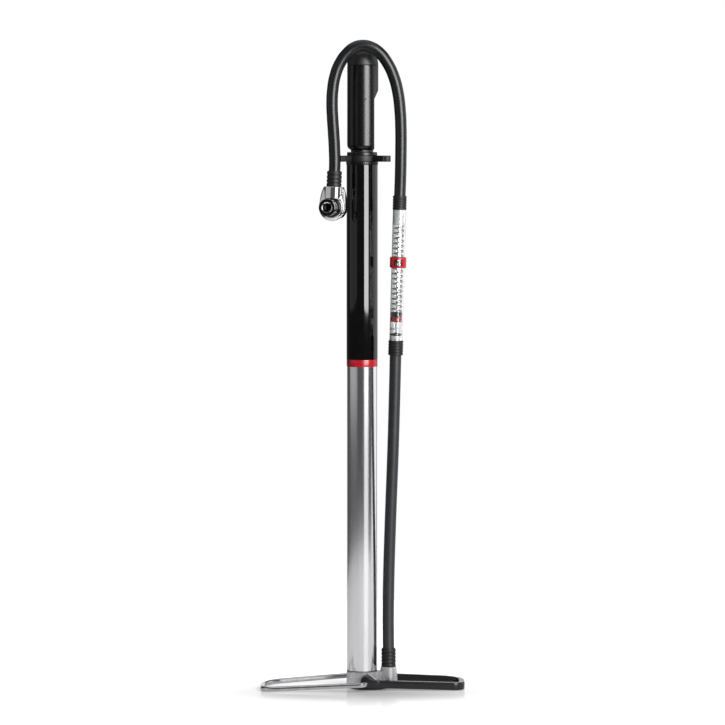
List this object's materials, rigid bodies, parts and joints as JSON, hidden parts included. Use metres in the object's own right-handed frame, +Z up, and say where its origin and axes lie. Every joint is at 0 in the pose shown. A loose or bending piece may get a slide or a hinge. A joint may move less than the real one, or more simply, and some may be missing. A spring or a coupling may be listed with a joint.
{
  "type": "floor bike pump",
  "caption": "Slim folding floor pump with flip T-handle, fold-out wire and moulded feet, looped hose, in-line gauge and screw chuck.",
  "frame": {"origin": "on the barrel's axis at floor level, at the underside of the base pad", "axes": "+Z up along the barrel, +X towards the hose boss and the moulded foot, +Y to the rear, away from the hose arch"},
  "size_m": [0.2018, 0.0897, 0.6392],
  "materials": {
    "cast_aluminium": "satin cast",
    "polished_aluminium": "polished, drawn lengthwise",
    "gloss_black": "gloss black",
    "red_trim": "satin red",
    "black_nylon": "fine moulded texture",
    "handle_plastic": "satin",
    "handle_rubber": "soft satin",
    "black_rubber": "matte",
    "hose_rubber": "matte with a soft sheen",
    "ferrule_rubber": "matte, ribbed",
    "clear_plastic": "clear",
    "pale_plastic": "translucent grey",
    "steel": "bright",
    "chrome": "mirror chrome",
    "brass": "turned",
    "bush_plastic": "low-friction bush",
    "black_threaded": "black anodised"
  },
  "bodies": {
    "base": {"base_casting": "cast_aluminium", "base_pad": "black_rubber", "base_screw": "steel", "barrel_gasket": "black_rubber", "barrel_tube": "polished_aluminium", "barrel_sleeve": "gloss_black", "trim_ring": "red_trim", "top_cap": "black_nylon", "clip_collar": "black_nylon", "rod_bush": "bush_plastic", "rod_wiper": "black_rubber", "valve_seat": "brass", "valve_spring": "steel", "base_barb": "brass", "hose_lower": "hose_rubber", "hose_upper": "hose_rubber", "base_ferrule": "ferrule_rubber", "gauge_lower_ferrule": "ferrule_rubber", "gauge_upper_ferrule": "ferrule_rubber", "chuck_ferrule": "ferrule_rubber", "gauge_tube": "clear_plastic", "gauge_lower_plug": "pale_plastic", "gauge_upper_plug": "pale_plastic", "gauge_o_ring": "black_rubber", "gauge_stop_ring": "pale_plastic", "gauge_spring": "steel", "gauge_air_tube": "steel", "chuck_body": "chrome", "chuck_barb": "brass", "chuck_nozzle": "black_threaded", "chuck_lock_ring": "chrome", "chuck_gland": "black_rubber"},
    "valve_poppet": {"valve_poppet": "bush_plastic"},
    "rod": {"piston_rod": "chrome", "rod_end_lug": "steel", "piston_head": "bush_plastic", "piston_cup": "black_rubber", "piston_washer": "steel", "piston_nut": "steel", "top_out_bumper": "black_rubber", "neck_bumper": "handle_rubber"},
    "handle": {"handle_grip": "handle_plastic", "handle_end_cap": "handle_rubber", "handle_pin": "steel"},
    "wire_foot": {"wire_foot": "chrome"},
    "moulded_foot": {"moulded_foot": "black_nylon"},
    "gauge_piston": {"gauge_piston": "red_trim", "gauge_piston_seal": "black_rubber"},
    "gauge_marker": {"gauge_marker": "red_trim"},
    "thrust_sleeve": {"thrust_sleeve": "chrome"},
    "chuck_cap": {"chuck_cap": "black_threaded"}
  },
  "joints": [
    {"name": "rod_slide", "type": "slide", "parent": "base", "child": "rod", "axis": [0, 0, 1], "range_m": [0, 0.42]},
    {"name": "handle_flip", "type": "hinge", "parent": "rod", "child": "handle", "pos_m": [0.0015, 0, 0.5815], "axis": [0, 1, 0], "range_deg": [0, 90]},
    {"name": "wire_foot_fold", "type": "hinge", "parent": "base", "child": "wire_foot", "pos_m": [0.003, 0, 0.007], "axis": [0, 1, 0], "range_deg": [0, 80]},
    {"name": "moulded_foot_fold", "type": "hinge", "parent": "base", "child": "moulded_foot", "pos_m": [0.003, 0, 0.007], "axis": [0, -1, 0], "range_deg": [0, 68]},
    {"name": "gauge_rise", "type": "slide", "parent": "base", "child": "gauge_piston", "axis": [0.0262, -0.0419, 0.9988], "range_m": [0, 0.05], "stiffness_N_per_m": 1300, "deforming": ["gauge_spring"]},
    {"name": "marker_slide", "type": "slide", "parent": "base", "child": "gauge_marker", "axis": [0.0262, -0.0419, 0.9988], "range_m": [-0.045, 0.035]},
    {"name": "valve_lift", "type": "slide", "parent": "base", "child": "valve_poppet", "axis": [0, 0, -1], "range_m": [0, 0.0015], "stiffness_N_per_m": 60, "deforming": ["valve_spring"]},
    {"name": "chuck_press", "type": "slide", "parent": "base", "child": "thrust_sleeve", "axis": [0.2417, 0.9703, -0.0097], "range_m": [0, 0.0006]},
    {"name": "chuck_turn", "type": "hinge", "parent": "thrust_sleeve", "child": "chuck_cap", "pos_m": [-0.02832, -0.0225, 0.47603], "axis": [-0.2417, -0.9703, 0.0097], "range_deg": [0, 270]}
  ],
  "couplings": [
    {"joint": "chuck_press", "follows": "chuck_turn", "m_per_rad": 0.000127}
  ]
}
